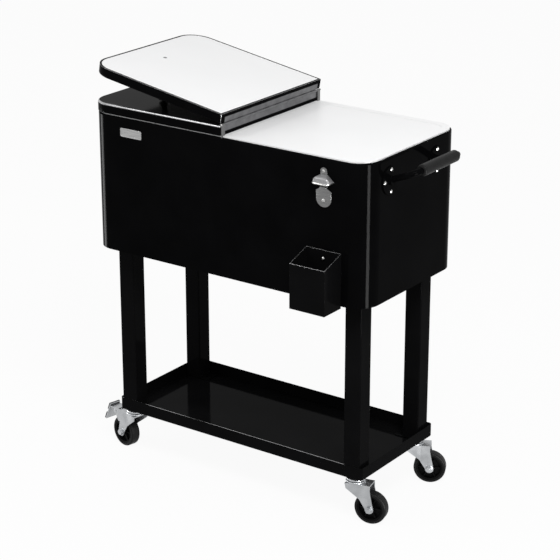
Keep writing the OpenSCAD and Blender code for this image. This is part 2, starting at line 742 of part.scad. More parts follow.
module grip(side) placed() color("#2b2c2e") translate([side * tub_l / 2, -side * handle_shift, handle_z])
    rotate([0, 0, side > 0 ? 0 : 180]) rotate([0, -handle_tilt, 0])
        translate([handle_reach, -grip_l / 2, 0]) rotate([-90, 0, 0]) rotate_extrude($fn = small_fn) {
            bore_r = tube_d / 2 + pin_gap;
            translate([bore_r, 0]) square([grip_d / 2 - grip_e - bore_r, grip_l]);
            translate([bore_r, grip_e]) square([grip_d / 2 - bore_r, grip_l - 2 * grip_e]);
            for (z = [grip_e, grip_l - grip_e]) translate([grip_d / 2 - grip_e, z])
                circle(r = grip_e, $fn = small_fn);
        }
module left_handle() handle(-1);
module right_handle() handle(1);
module left_grip() grip(-1);
module right_grip() grip(1);
module handle_screws() placed() color("#b9bbbd")
    for (side = [-1, 1]) at_flange_screws(side) translate([side * handle_flange_t, 0, 0])
        rotate([0, side * 90, 0]) small_screw(screw_l);

// The opener: a plate with a lug above and a hood that hooks under a cap.
module bottle_opener() placed() color("#c4c6c8") translate([opener_x, -tub_w / 2, opener_z]) difference() {
    union() {
        rotate([90, 0, 0]) linear_extrude(opener_t) {
            translate([0, opener_w / 2]) circle(d = opener_w, $fn = big_fn);
            polygon([
                [-opener_w / 2, opener_w / 2], [opener_w / 2, opener_w / 2], [opener_w / 2, shoulder_z],
                [lug_w / 2, neck_z], [lug_w / 2, lug_screw_z], [-lug_w / 2, lug_screw_z],
                [-lug_w / 2, neck_z], [-opener_w / 2, shoulder_z]
            ]);
            translate([0, lug_screw_z]) circle(d = lug_w, $fn = big_fn);
        }
        difference() {
            visor(0);
            visor(hood_t);
        }
        translate([-lip_w / 2, -hood_out, hood_lip]) along_x(lip_d, lip_w);
        translate([-tooth_w / 2, -opener_t - 5, tooth_z]) cube([tooth_w, 5 + opener_t, 3]);
    }
    for (z = [foot_screw_z, lug_screw_z]) translate([0, -opener_t - cut, z])
        along_y(screw_hole_d, opener_t + 2 * cut);
}
// The hood's outside, or with a wall t left off the space under it.
module visor(t) hull() {
    back = t > 0 ? cut : 0;
    drop = t > 0 ? hood_lip : cut;
    for (s = [-1, 1]) {
        translate([s * (lug_w / 2 + 0.5 - t * 0.6), back, hood_top - t * 1.5]) point();
        translate([s * (hood_w / 2 - t * 1.6), back, hood_side - t * 0.4]) point();
        translate([s * (lip_w / 2 - t * 0.7), t - hood_out, hood_lip]) point();
        if (t > 0) {
            translate([s * (hood_w / 2 - t * 1.6), back, hood_side - drop]) point();
            translate([s * (lip_w / 2 - t * 0.7), t - hood_out, hood_lip - drop]) point();
        }
    }
}
module point() cube(point_a, center = true);
module opener_screws() placed() color("#b9bbbd") at_opener_screws()
    translate([0, -opener_t, 0]) rotate([90, 0, 0]) small_screw(screw_l);

// The catcher: a sheet box, open above, lower in front than at the wall.
module cap_catcher() placed() color("#131315")
    translate([opener_x, -tub_w / 2, catcher_z]) difference() {
        rotate([90, 0, 90]) translate([0, 0, -catcher_w / 2]) linear_extrude(catcher_w)
            polygon([[-catcher_d, 0], [0, 0], [0, catcher_h], [-catcher_d, catcher_h - catcher_fall]]);
        translate([-catcher_w / 2 + catcher_t, -catcher_d + catcher_t, catcher_t])
            cube([catcher_w - 2 * catcher_t, catcher_d - 2 * catcher_t, catcher_h]);
        translate([0, -catcher_t - cut, catcher_screw_z]) along_y(screw_hole_d, catcher_t + 2 * cut);
    }
module catcher_screw() placed() color("#b9bbbd") at_catcher_screw()
    translate([0, -catcher_t, 0]) rotate([90, 0, 0]) small_screw(screw_l);

// The drain: a flanged tube held by a nut, with a cap pushed on from below.
module at_drain() placed() translate([-drain_x, 0, 0]) children();
module drain_fitting() at_drain() color("#1a1a1c") difference() {
    top = liner_floor - 0.1;
    union() {
        translate([0, 0, liner_floor - drain_flange_t])
            cylinder(h = drain_flange_t, d = drain_flange_d, $fn = small_fn);
        translate([0, 0, tub_z - drain_low]) cylinder(h = top - tub_z + drain_low, d = drain_d, $fn = small_fn);
    }
    translate([0, 0, tub_z - drain_low - cut])
        cylinder(h = liner_floor - tub_z + drain_low + 2 * cut, d = drain_bore, $fn = small_fn);
}
module drain_nut() at_drain() color("#1a1a1c") translate([0, 0, tub_z - drain_nut_h]) difference() {
    cylinder(h = drain_nut_h, d = drain_cap_d, $fn = 6);
    translate([0, 0, -cut]) cylinder(h = drain_nut_h + 2 * cut, d = drain_d + 2 * pin_gap, $fn = small_fn);
}
module drain_cap() at_drain() color("#1a1a1c") translate([0, 0, tub_z - drain_low - cap_floor]) difference() {
    cylinder(h = drain_cap_h, d = drain_cap_d, $fn = small_fn);
    translate([0, 0, cap_floor]) cylinder(h = drain_cap_h, d = drain_d + 2 * pin_gap, $fn = small_fn);
    for (a = [0:30:330]) rotate([0, 0, a]) translate([drain_cap_d / 2 + 0.6, 0, -cut])
        cylinder(h = drain_cap_h + 2 * cut, d = 4, $fn = small_fn);
}

// Casters. Each is drawn about its swivel axis, with the wheel trailing to +X.
module at_stem(sx, sy) placed() translate([sx * leg_x, sy * leg_y, caster_h])
    rotate([0, 0, sx < 0 ? 180 - front_turn : sy < 0 ? front_turn : back_turn]) children();
module caster_stems() color("#b4b6b8") for (sx = [-1, 1], sy = [-1, 1]) at_stem(sx, sy) {
    plate_low = fork_z - fork_t;
    translate([0, 0, plate_low - swivel_gap - cut])
        cylinder(h = stem_l + cut + swivel_gap - plate_low, d = stem_d, $fn = small_fn);
    translate([0, 0, plate_low - swivel_gap - rivet_h]) cylinder(h = rivet_h, d = rivet_d, $fn = small_fn);
    rotate_extrude($fn = big_fn) {
        polygon([
            [0, 0], [stem_d + 3, 0], [stem_d + 5, -2], [race_d / 2 - 3, -3],
            [race_d / 2 - 3, -race_h], [0, -race_h]
        ]);
        translate([race_d / 2 - 3, -race_h / 2 - 1.5]) circle(r = race_h / 2 - 1.5, $fn = small_fn);
    }
}

// A fork's side seen from beside the wheel, with the brake's ear where braked.
module fork_side(braked) {
    top_z = fork_z - fork_t / 2;
    polygon([
        [-fork_front, top_z], [2 - fork_front, fork_z - 12], [trail - knee_in, knee_up - axle_drop],
        [trail - boss_r, -axle_drop], [trail + boss_r, -axle_drop],
        [fork_w - fork_front, fork_z - 14], [fork_w - fork_front, top_z]
    ]);
    translate([trail, -axle_drop]) circle(r = boss_r, $fn = big_fn);
    if (braked) {
        translate([pivot_x, -pivot_drop]) circle(r = ear_r, $fn = big_fn);
        polygon([
            [fork_w - fork_front - 6, top_z], [pivot_x, ear_r - pivot_drop],
            [pivot_x, -ear_r - pivot_drop], [trail + boss_r + 1, ear_low - axle_drop],
            [fork_w - fork_front - 6, ear_low - axle_drop]
        ]);
    }
}
module fork(braked) color("#a8aaac") difference() {
    half_w = fork_in + fork_t;
    splay = (fork_front + fold_x) * sin(fold_splay);
    union() {
        translate([0, 0, fork_z]) rotate_extrude($fn = big_fn) {
            square([race_d / 2 - 1, low_race_h]);
            translate([race_d / 2 - 1, low_race_h / 2]) circle(d = low_race_h, $fn = small_fn);
        }
        translate([0, 0, fork_z - fork_t]) linear_extrude(fork_t) polygon([
            [fork_w - fork_front, -half_w], [fork_w - fork_front, half_w], [fold_x, half_w],
            [-fork_front, half_w + splay], [-fork_front, -half_w - splay], [fold_x, -half_w]
        ]);
        for (s = [-1, 1]) translate([fold_x, s * (fork_in + fork_t / 2), 0]) {
            rotate([90, 0, 0]) linear_extrude(fork_t, center = true) intersection() {
                translate([-fold_x, 0]) fork_side(braked);
                translate([0, -caster_h]) square(caster_h);
            }
            rotate([90, 0, -s * fold_splay]) linear_extrude(fork_t, center = true) intersection() {
                translate([-fold_x, 0]) fork_side(braked);
                translate([0.5 - caster_h, -caster_h]) square(caster_h);
            }
        }
        if (braked) translate([pivot_x, -half_w - 1, -pivot_drop]) along_y(pivot_d, 2 * (half_w + 1));
    }
    translate([0, 0, fork_z - fork_t - cut])
        cylinder(h = fork_t + low_race_h + 2 * cut, d = stem_d + 2 * pin_gap, $fn = small_fn);
    translate([trail, -half_w - cut, -axle_drop])
        along_y(axle_d + 2 * pin_gap, 2 * (half_w + cut));
}
module axle() color("#b9bbbd") translate([trail, 0, -axle_drop]) {
    side = fork_in + fork_t;
    translate([0, -side - nut_h - 1, 0]) along_y(axle_d, 2 * side + nut_h + 2);
    translate([0, -side - nut_h, 0]) rotate([-90, 0, 0]) cylinder(h = nut_h, d = 2 * axle_d - 1, $fn = 6);
    translate([0, side, 0]) rotate([-90, 0, 0]) cylinder(h = nut_h - 1, d = 2 * axle_d - 1, $fn = 6);
}
module hub() color("#1b1c1e") translate([trail, 0, -axle_drop]) rotate([90, 0, 0]) difference() {
    boss = fork_in - swivel_gap;
    rim_w = wheel_w / 2 - 1;
    web = 3;
    union() {
        rotate_extrude($fn = big_fn) polygon([
            [0, -boss], [axle_d, -boss], [axle_d + 1, -web], [hub_d / 2 - 5, -web],
            [hub_d / 2 - 4, -rim_w], [hub_d / 2, -rim_w], [hub_d / 2, rim_w],
            [hub_d / 2 - 4, rim_w], [hub_d / 2 - 5, web], [axle_d + 1, web], [axle_d, boss], [0, boss]
        ]);
        for (a = [0:60:300]) rotate([0, 0, a]) translate([axle_d - 1, -1.5, -rim_w + 3])
            cube([hub_d / 2 - 4 - axle_d, 3, 2 * rim_w - 6]);
    }
    translate([0, 0, -boss - cut]) cylinder(h = 2 * (boss + cut), d = axle_d + 2 * pin_gap, $fn = small_fn);
}
module tyre() color("#161616") translate([trail, 0, -axle_drop]) rotate([90, 0, 0])
    rotate_extrude($fn = big_fn) {
        e = 4;
        seat_r = hub_d / 2 + pin_gap;
        translate([seat_r, -wheel_w / 2]) square([wheel_d / 2 - e - seat_r, wheel_w]);
        translate([seat_r, -wheel_w / 2 + e]) square([wheel_d / 2 - seat_r, wheel_w - 2 * e]);
        for (z = [-1, 1]) translate([wheel_d / 2 - e, z * (wheel_w / 2 - e)]) circle(r = e, $fn = small_fn);
    }

// The pedal turns on the fork's pivot and presses its shoe on the tyre.
module pedal() color("#a8aaac") translate([pivot_x, 0, -pivot_drop]) {
    in_w = 2 * (fork_in - 0.5);
    difference() {
        union() {
            translate([0, -in_w / 2, 0]) along_y(pivot_d + 4, in_w);
            rotate([0, shoe_angle, 0]) translate([0, -wheel_w / 2, -2]) cube([shoe_reach, wheel_w, 4]);
            translate([0, -in_w / 2, pivot_d / 2 + 2 - pedal_t]) cube([arm_l, in_w, pedal_t]);
        }
        translate([0, -in_w / 2 - cut, 0]) along_y(pivot_d + 2 * pin_gap, in_w + 2 * cut);
    }
    tread_place() translate([0, -pedal_w / 2, -pedal_t]) cube([pedal_l, pedal_w, pedal_t]);
}
module tread_place() translate([arm_l - pedal_t / 2, 0, pivot_d / 2 + 2]) rotate([0, pedal_slope, 0])
    translate([-tread_up, 0, pedal_t / 2]) children();
module pedal_pad() color("#141414") translate([pivot_x, 0, -pivot_drop])
    tread_place() for (x = [0, pedal_l * 0.62]) translate([x, -pedal_w / 2, 0])
        cube([pedal_l * 0.38, pedal_w, pad_t]);

module fork_front_left() at_stem(-1, -1) fork(true);
module axle_front_left() at_stem(-1, -1) axle();
module hub_front_left() at_stem(-1, -1) hub();
module tyre_front_left() at_stem(-1, -1) tyre();
module pedal_front_left() at_stem(-1, -1) pedal();
module pedal_pad_front_left() at_stem(-1, -1) pedal_pad();
module fork_front_right() at_stem(1, -1) fork(false);
module axle_front_right() at_stem(1, -1) axle();
module hub_front_right() at_stem(1, -1) hub();
module tyre_front_right() at_stem(1, -1) tyre();
module fork_back_left() at_stem(-1, 1) fork(true);
module axle_back_left() at_stem(-1, 1) axle();
module hub_back_left() at_stem(-1, 1) hub();
module tyre_back_left() at_stem(-1, 1) tyre();
module pedal_back_left() at_stem(-1, 1) pedal();
module pedal_pad_back_left() at_stem(-1, 1) pedal_pad();
module fork_back_right() at_stem(1, 1) fork(false);
module axle_back_right() at_stem(1, 1) axle();
module hub_back_right() at_stem(1, 1) hub();
module tyre_back_right() at_stem(1, 1) tyre();

tub_shell();
tub_base();
insulation();
liner();
inner_cover();
hinge_posts();
hinge_pin();
left_lid_skin();
left_lid_foam();
left_lid_panel();
left_hinge_leaf();
left_lid_knob();
left_knob_screw();
right_lid_skin();
right_lid_foam();
right_lid_panel();
right_hinge_leaf();
right_lid_knob();
right_knob_screw();
leg_front_left();
leg_front_right();
leg_back_left();
leg_back_right();
leg_bolts();
shelf_tray();
tray_bolts();
left_handle();
left_grip();
right_handle();
right_grip();
handle_screws();
bottle_opener();
opener_screws();
cap_catcher();
catcher_screw();
drain_fitting();
drain_nut();
drain_cap();
caster_stems();
fork_front_left();
axle_front_left();
hub_front_left();
tyre_front_left();
pedal_front_left();
pedal_pad_front_left();
fork_front_right();
axle_front_right();
hub_front_right();
tyre_front_right();
fork_back_left();
axle_back_left();
hub_back_left();
tyre_back_left();
pedal_back_left();
pedal_pad_back_left();
fork_back_right();
axle_back_right();
hub_back_right();
tyre_back_right();
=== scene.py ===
# %% [markdown]
# # A rolling cooler cart for the patio
# The cart is a black steel tub on four legs, with two half lids, a lower
# shelf, side handles, a bottle opener over a cap catcher and four casters.
# Its solids and joints come from the CAD frame, in metres, with the front
# towards -Y. This lesson gives each solid its finish and adds the small things
# that the eye looks for: softened metal edges, crossed screw heads, the cast
# opener and the bare badge plate.

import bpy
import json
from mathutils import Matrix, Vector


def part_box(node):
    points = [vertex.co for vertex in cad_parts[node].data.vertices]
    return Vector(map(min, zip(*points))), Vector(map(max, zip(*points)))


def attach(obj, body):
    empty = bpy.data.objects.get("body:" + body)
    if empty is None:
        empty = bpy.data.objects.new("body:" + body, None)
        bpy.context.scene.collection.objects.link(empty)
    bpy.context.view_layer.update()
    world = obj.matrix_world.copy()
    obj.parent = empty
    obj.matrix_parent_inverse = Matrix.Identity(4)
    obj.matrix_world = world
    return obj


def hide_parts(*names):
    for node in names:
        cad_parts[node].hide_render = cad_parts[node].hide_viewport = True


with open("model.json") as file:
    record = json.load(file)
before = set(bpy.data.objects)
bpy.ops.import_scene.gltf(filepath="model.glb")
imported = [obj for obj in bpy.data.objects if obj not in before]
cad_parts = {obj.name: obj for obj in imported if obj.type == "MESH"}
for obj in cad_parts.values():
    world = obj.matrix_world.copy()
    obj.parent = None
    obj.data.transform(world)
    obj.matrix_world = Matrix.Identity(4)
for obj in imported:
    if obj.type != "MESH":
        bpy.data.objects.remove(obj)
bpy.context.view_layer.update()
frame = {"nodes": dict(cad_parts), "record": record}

# %% [markdown]
# ## Modules and the picture's size
# bmesh builds and mends meshes point by point, and mathutils brings vectors.
# The picture is square. Its width in pixels is needed once, to turn a focal
# length that was measured in the photograph into a lens.

# %% Modules and the size of the picture
import json
import math

import bmesh
import bpy
from mathutils import Vector

scene = bpy.context.scene
nodes_of_cart = frame["nodes"]
picture_px = 560

# %% [markdown]
# ## The camera
# The photograph was taken from the right of the front, a little above the
# lids, with a long lens: the tub's upright edges stay almost parallel. A camera
# could be set by eye until the edges meet. It is surer to work the place and
# the focal length out from the corners of the tub, the shelf and the wheels,
# and the four results are written here as plain numbers.

# %% Camera at the photograph's angle
camera_place = Vector((2.4249, -3.3424, 1.9982))
camera_yaw = 35.471
camera_pitch = 20.238
focal_px = 1924.3

camera_data = bpy.data.cameras.new("camera")
camera_data.sensor_width = 36.0
camera_data.lens = focal_px / picture_px * camera_data.sensor_width
camera = bpy.data.objects.new("camera", camera_data)
camera.location = camera_place
camera.rotation_euler = (math.radians(90 - camera_pitch), 0, math.radians(camera_yaw))
scene.collection.objects.link(camera)
scene.camera = camera
scene.view_settings.view_transform = "Standard"
print("lens", round(camera_data.lens, 1), "mm")

# %% [markdown]
# ## Helpers for nodes
# Every finish on the cart is one Principled shader with procedural patterns.
# Such trees can be drawn by hand in the shader editor. In a script two helpers
# keep them short: one starts a material and sets plain numbers on the shader's
# own sockets, and one adds a node with its values and its incoming links. The
# second serves the screws' Geometry Nodes tree further on as well.

# %% Node helpers
def new_finish(name, **values):
    material = bpy.data.materials.new(name)
    material.use_nodes = True
    tree = material.node_tree
    shader = tree.nodes["Principled BSDF"]
    for socket, value in values.items():
        shader.inputs[socket.replace("_", " ")].default_value = value
    return material, tree, shader


def add_node(tree, kind, links=None, **values):
    """A value goes to the node's setting of that name, or else to its socket."""
    node = tree.nodes.new(kind)
    for name, value in values.items():
        if name in node.bl_rna.properties:
            setattr(node, name, value)
        else:
            node.inputs[name.replace("_", " ")].default_value = value
    for name, source in (links or {}).items():
        tree.links.new(source, node.inputs[name])
    return node


print("node helpers: new_finish, add_node")

# %% [markdown]
# ## Patterns, colour and relief
# No real surface has one even colour. Noise in object space needs no UV map
# and stays where it is when a piece moves. Its values gather round one half, so
# only the band in the middle is stretched over a finish's two colours and two
# roughnesses. A noise that is squeezed along one axis gives brushed lines.

# %% Pattern helpers
band_low, band_high = 0.3, 0.7


def object_place(tree):
    return add_node(tree, "ShaderNodeTexCoord").outputs["Object"]


def grain(tree, scale, detail, stretch=None):
    place = object_place(tree)
    if stretch:
        place = add_node(tree, "ShaderNodeMapping", {"Vector": place}, Scale=stretch).outputs[0]
    return add_node(tree, "ShaderNodeTexNoise", {"Vector": place}, Scale=scale,
                    Detail=detail).outputs["Fac"]


def roughen(tree, shader, pattern, low, high):
    level = add_node(tree, "ShaderNodeMapRange", {"Value": pattern}, From_Min=band_low,
                     From_Max=band_high, To_Min=low, To_Max=high)
    tree.links.new(level.outputs["Result"], shader.inputs["Roughness"])


def tint(tree, shader, pattern, dark, light):
    ramp = add_node(tree, "ShaderNodeValToRGB", {"Fac": pattern})
    stops = ramp.color_ramp.elements
    stops[0].position, stops[1].position = band_low, band_high
    stops[0].color, stops[1].color = (*dark, 1), (*light, 1)
    tree.links.new(ramp.outputs["Color"], shader.inputs["Base Color"])


def emboss(tree, shader, pattern, strength, height):
    bump = add_node(tree, "ShaderNodeBump", {"Height": pattern}, Strength=strength,
                    Distance=height)
    tree.links.new(bump.outputs["Normal"], shader.inputs["Normal"])


print("patterns use the band from", band_low, "to", band_high)

# %% [markdown]
# ## One recipe for coats and metals
# Paint, metal and rubber differ in numbers, not in kind: soft patches change
# colour and roughness together, as wear and dirt do, and fine pores give the
# relief. So one recipe makes them all, and each finish below names only its
# own numbers. Where a finish has no pores, its patches are the relief too.

# %% The recipe
def patchy_finish(name, patches, dark, light, rough, relief, pores=None, **values):
    """patches and pores hold scale, detail and stretch; relief holds strength and height."""
    material, tree, shader = new_finish(name, **values)
    pattern = grain(tree, *patches)
    tint(tree, shader, pattern, dark, light)
    roughen(tree, shader, pattern, *rough)
    emboss(tree, shader, grain(tree, *pores) if pores else pattern, *relief)
    return material


def grey(value, blue=0.0):
    return (value, value, value + blue)


print("middle grey:", grey(0.5))

# %% [markdown]
# ## Gloss black enamel
# Tub, lids, legs, shelf and catcher are sheet steel under a glossy black coat.
# Such a coat isn't a perfect mirror: it has the fine waves that painters call
# orange peel, and faint cloudy patches where hands and cloths have been. In the
# photograph it stays nearly black even under the lamps, so its shine is far
# weaker than a lacquer's usual one. The legs, the shelf and the catcher come
# out a little lighter there than the tub, and have a second coat of their own.

# %% Black enamel
def make_enamel(name, dark, light):
    return patchy_finish(name, patches=(9.0, 3.0), dark=dark, light=light, rough=(0.06, 0.10),
                         pores=(420.0, 2.0), relief=(0.035, 0.0006), Specular_IOR_Level=0.006)


enamel = make_enamel("black_enamel", grey(0.0019, 0.0002), grey(0.0030, 0.0003))
fitting_enamel = make_enamel("fitting_enamel", grey(0.0040, 0.0002), grey(0.0056, 0.0004))
print("coats:", enamel.name, fitting_enamel.name)

# %% [markdown]
# ## Painted highlight edges
# The lamps make a bright line on the small round of some sheet edges. That
# line is painted in, as a bright metal of its own set on a few narrow faces, so
# that it shows under any light. A pointiness mask finds all sharp edges, and
# can't tell these few from those that stay black.

# %% Painted highlight edge
# A bright metal that paints a highlight line onto a few narrow edge faces.
painted_highlight_edge = patchy_finish("painted_highlight_edge", patches=(30.0, 3.0), dark=grey(0.36, 0.005),
                            light=grey(0.50, 0.005), rough=(0.20, 0.32), pores=(600.0, 2.0),
                            relief=(0.05, 0.0003), Metallic=1.0)
print("edge metal:", painted_highlight_edge.name)

# %% [markdown]
# ## White moulding
# The liner, the flat cover and the panels under the lids are white plastic.
# Moulded plastic has a fine even grain and a soft sheen. Full white would clip
# under the lamps, so the white stays a little below it and keeps its shading.

# %% White moulding
white = patchy_finish("white_moulding", patches=(6.0, 2.0), dark=(0.86, 0.862, 0.865),
                      light=(0.885, 0.887, 0.89), rough=(0.32, 0.42), pores=(900.0, 1.0),
                      relief=(0.05, 0.0003), Specular_IOR_Level=0.35)
print("moulding:", white.name)

# %% [markdown]
# ## Foam
# Between shell and liner sits yellowish foam, which no view shows while the
# cart is whole. It still gets its cells: Voronoi distance is round in each
# cell, as bubbles are, where noise would look like cloud.

# %% Insulation foam
def make_foam():
    material, tree, shader = new_finish("insulation_foam", Roughness=0.9)
    cells = add_node(tree, "ShaderNodeTexVoronoi", {"Vector": object_place(tree)},
                     Scale=500.0).outputs["Distance"]
    tint(tree, shader, cells, (0.72, 0.64, 0.42), (0.80, 0.73, 0.52))
    emboss(tree, shader, cells, strength=0.4, height=0.001)
    return material


foam = make_foam()
print("foam:", foam.name)

# %% [markdown]
# ## Plated metal
# The casters are bright zinc, the screws and bolts are nickel plated, and the
# hinge leaves and the knobs' screws are plain dark steel. All could share one
# metal in three greys, but roughness and the size of the patches are what tell
# them apart: zinc has wide soft ones, and nickel is smooth, with small ones.

# %% Zinc, nickel and dark steel
zinc = patchy_finish("bright_zinc", patches=(40.0, 2.0), dark=(0.36, 0.37, 0.38),
                     light=(0.44, 0.45, 0.46), rough=(0.32, 0.42), pores=(500.0, 1.0),
                     relief=(0.03, 0.0003), Metallic=1.0)
plating = patchy_finish("nickel_plate", patches=(150.0, 2.0), dark=(0.46, 0.46, 0.45),
                        light=(0.56, 0.56, 0.55), rough=(0.14, 0.24), pores=(1500.0, 1.0),
                        relief=(0.04, 0.0002), Metallic=1.0)
dark_steel = patchy_finish("dark_steel", patches=(50.0, 3.0), dark=grey(0.13, 0.005),
                           light=grey(0.20, 0.005), rough=(0.30, 0.42), pores=(800.0, 2.0),
                           relief=(0.06, 0.0003), Metallic=1.0)
print("plated:", zinc.name, plating.name, dark_steel.name)

# %% [markdown]
# ## Stainless steel
# The opener's plate, the hinge's posts and the badge are brushed. Brushing
# leaves long fine lines, and a noise that is squeezed 40 times from top to
# bottom draws them level, without any picture. The badge is lighter than the
# opener's plate in the photograph, so it has a steel of its own. The opener's
# hood is blasted instead: its pits throw much of the light every way, and a
# shader that is only half metallic does that.

# %% Brushed and blasted stainless
def make_brushed(name, dark, light):
    return patchy_finish(name, patches=(40.0, 4.0, (1.0, 1.0, 40.0)), dark=grey(dark),
                         light=grey(light), rough=(0.24, 0.36), relief=(0.06, 0.0002),
                         Metallic=1.0)


stainless = make_brushed("brushed_stainless", 0.13, 0.22)
bright_stainless = make_brushed("bright_stainless", 0.28, 0.40)
satin_cast = patchy_finish("satin_cast", patches=(300.0, 3.0), dark=grey(0.24, 0.005),
                           light=grey(0.32, 0.005), rough=(0.30, 0.40), relief=(0.08, 0.0003),
                           Metallic=0.5)
print("stainless:", stainless.name, bright_stainless.name, satin_cast.name)

# %% [markdown]
# ## Rubber and black plastic
# The grips are soft rubber with a satin skin and the tyres a harder rubber with
# dusty scuffs. The knobs and pedal pads are polished plastic, the wheels' hubs
# a dull one. All are nearly black, so one could give them one colour and look
# no further. What tells them apart is shine, roughness and grain.

# %% Rubber and plastic
def make_dark(name, shine, dark, light, rough, pore_scale, strength):
    return patchy_finish(name, patches=(45.0, 3.0), dark=grey(dark), light=grey(light),
                         rough=rough, pores=(pore_scale, 2.0), relief=(strength, 0.0005),
                         Specular_IOR_Level=shine)


grip_rubber = make_dark("grip_rubber", 0.06, 0.009, 0.014, (0.36, 0.46), 900.0, 0.10)
tyre_rubber = make_dark("tyre_rubber", 0.10, 0.005, 0.009, (0.40, 0.60), 500.0, 0.15)
black_plastic = make_dark("black_plastic", 0.45, 0.003, 0.006, (0.14, 0.24), 1200.0, 0.05)
hub_plastic = make_dark("hub_plastic", 0.05, 0.002, 0.004, (0.40, 0.55), 1200.0, 0.08)
print("dark finishes:", grip_rubber.name, tyre_rubber.name, black_plastic.name, hub_plastic.name)

# %% [markdown]
# ## Finishes onto the CAD nodes
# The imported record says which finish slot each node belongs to. A table turns
# the slots into the materials above, so no node is forgotten. A slot can hold
# pieces that differ a little on the real cart, and a second, shorter table
# names those.

# %% Assign the finishes
finish_of_slot = {
    "black_enamel": enamel,
    "dark_steel": dark_steel,
    "white_moulding": white,
    "foam": foam,
    "stainless": stainless,
    "bright_screws": plating,
    "zinc_steel": zinc,
    "soft_grip": grip_rubber,
    "black_plastic": black_plastic,
    "tyre": tyre_rubber,
}
finish_of_node = {
    "tray_bolts": enamel,
    "left_knob_screw": dark_steel,
    "right_knob_screw": dark_steel,
    "shelf_tray": fitting_enamel,
    "cap_catcher": fitting_enamel,
}
for end in ("front", "back"):
    for side in ("left", "right"):
        finish_of_node[f"hub_{end}_{side}"] = hub_plastic
        finish_of_node[f"leg_{end}_{side}"] = fitting_enamel
for subpart in frame["record"]["subparts"]:
    name = subpart["node"]
    finish = finish_of_node.get(name, finish_of_slot[subpart["material_slot"]])
    nodes_of_cart[name].data.materials.clear()
    nodes_of_cart[name].data.materials.append(finish)

# %% [markdown]
# ## From a mesh in work to a finished piece
# bmesh holds a mesh while it is being built. Four helpers bring it into the
# scene: one makes the object, with its normals outwards, one rounds its edges
# with a Bevel modifier, one turns the result of its modifiers into a plain
# mesh, and one smooths its shading between the edges that stay sharp. The
# objects stay at the origin, as the CAD nodes do, so that patterns in object
# space lie right.

# %% Piece helpers
def piece_of(shape, name, *finishes):
    bmesh.ops.recalc_face_normals(shape, faces=shape.faces)
    mesh = bpy.data.meshes.new(name)
    shape.to_mesh(mesh)
    shape.free()
    for finish in finishes:
        mesh.materials.append(finish)
    piece = bpy.data.objects.new(name, mesh)
    scene.collection.objects.link(piece)
    return piece


def round_edges(piece, width, segments, sharper_than):
    bevel = piece.modifiers.new("ease", "BEVEL")
    bevel.width = width
    bevel.segments = segments
    bevel.limit_method = "ANGLE"
    bevel.angle_limit = math.radians(sharper_than)
    return bevel


def bake_modifiers(piece):
    depsgraph = bpy.context.evaluated_depsgraph_get()
    plain = bpy.data.meshes.new_from_object(piece.evaluated_get(depsgraph))
    old = piece.data
    piece.modifiers.clear()
    piece.data = plain
    bpy.data.meshes.remove(old)


def shade_smooth(piece, sharper_than):
    for face in piece.data.polygons:
        face.use_smooth = True
    piece.data.set_sharp_from_angle(angle=math.radians(sharper_than))


print("piece helpers: piece_of, round_edges, bake_modifiers, shade_smooth")

# %% [markdown]
# ## Softened edges
# Folded and stamped sheet never ends in a perfect corner, and it is the small
# round at each edge that catches the light. A CAD node's mesh isn't changed, so
# a copy of it is welded, gets a narrow bevel and then stands for the node.
# Smooth shading would let the bevel's slope run out over the flat faces, as
# streaks of light. The Weighted Normal modifier gives the large faces the last
# word and keeps them level.

# %% An eased copy of a hard-edged node
weld_gap = 1e-6
flat_enough = math.radians(0.6)


def eased_copy(node_name, body, width, rubbed=None, painted_highlight_bevel=False):
    """highlighted(centre, normal) picks the faces that get the painted highlight metal."""
    source = nodes_of_cart[node_name]
    shape = bmesh.new()
    shape.from_mesh(source.data)
    bmesh.ops.remove_doubles(shape, verts=shape.verts, dist=weld_gap)
    bmesh.ops.dissolve_limit(shape, angle_limit=flat_enough, verts=shape.verts,
                             edges=shape.edges)
    piece = piece_of(shape, node_name + "_eased", source.data.materials[0], painted_highlight_edge)
    picked = [face for face in piece.data.polygons if rubbed and rubbed(face.center, face.normal)]
    for face in picked:
        face.material_index = 1
    bevel = round_edges(piece, width, 2, sharper_than=35)
    # On request the whole bevel gets the painted highlight metal.
    if painted_highlight_bevel:
        bevel.material = 1
    bake_modifiers(piece)
    shade_smooth(piece, sharper_than=40)
    piece.modifiers.new("level the flat faces", "WEIGHTED_NORMAL").keep_sharp = True
    bake_modifiers(piece)
    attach(piece, body)
    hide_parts(node_name)
    print(node_name, "eased, rubbed faces:", len(picked))

# %% [markdown]
# ## The catcher, the shelf and the lids
# The catcher's rim, the shelf's front lip and the closed lid's front edge get
# a painted highlight line on their narrow faces. On the folded lid the whole
# bevel gets the painted highlight, all round. Which faces lie on such a line is
# told by where they are and which way they look.

# %% Ease the sheet-metal pieces
looks_up = 0.8
looks_forward = -0.15
lid_slope_low, lid_slope_high = 0.2, 0.985
lid_edge_depth = 0.005
lip_height, lip_depth = 0.001, 0.010
catcher_low, catcher_high = map(Vector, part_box("cap_catcher"))
lid_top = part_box("left_lid_skin")[1][2]
tray_low, tray_high = map(Vector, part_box("shelf_tray"))


# Each test below picks the faces that get the painted highlight line.
def on_catcher_rim(centre, normal):
    return normal.z > looks_up and centre.z > (catcher_low.z + catcher_high.z) / 2


def on_lid_front_edge(centre, normal):
    return (lid_slope_low < normal.z < lid_slope_high and normal.y < looks_forward
            and centre.z > lid_top - lid_edge_depth)


def on_tray_front_lip(centre, normal):
    return (normal.z > looks_up and centre.z > tray_high.z - lip_height
            and centre.y < tray_low.y + lip_depth)


eased_copy("cap_catcher", "root", 0.0004, rubbed=on_catcher_rim)
eased_copy("shelf_tray", "root", 0.0004, rubbed=on_tray_front_lip)
eased_copy("left_lid_skin", "lid_left", 0.0004, rubbed=on_lid_front_edge)
eased_copy("right_lid_skin", "lid_right", 0.0007, painted_highlight_bevel=True)

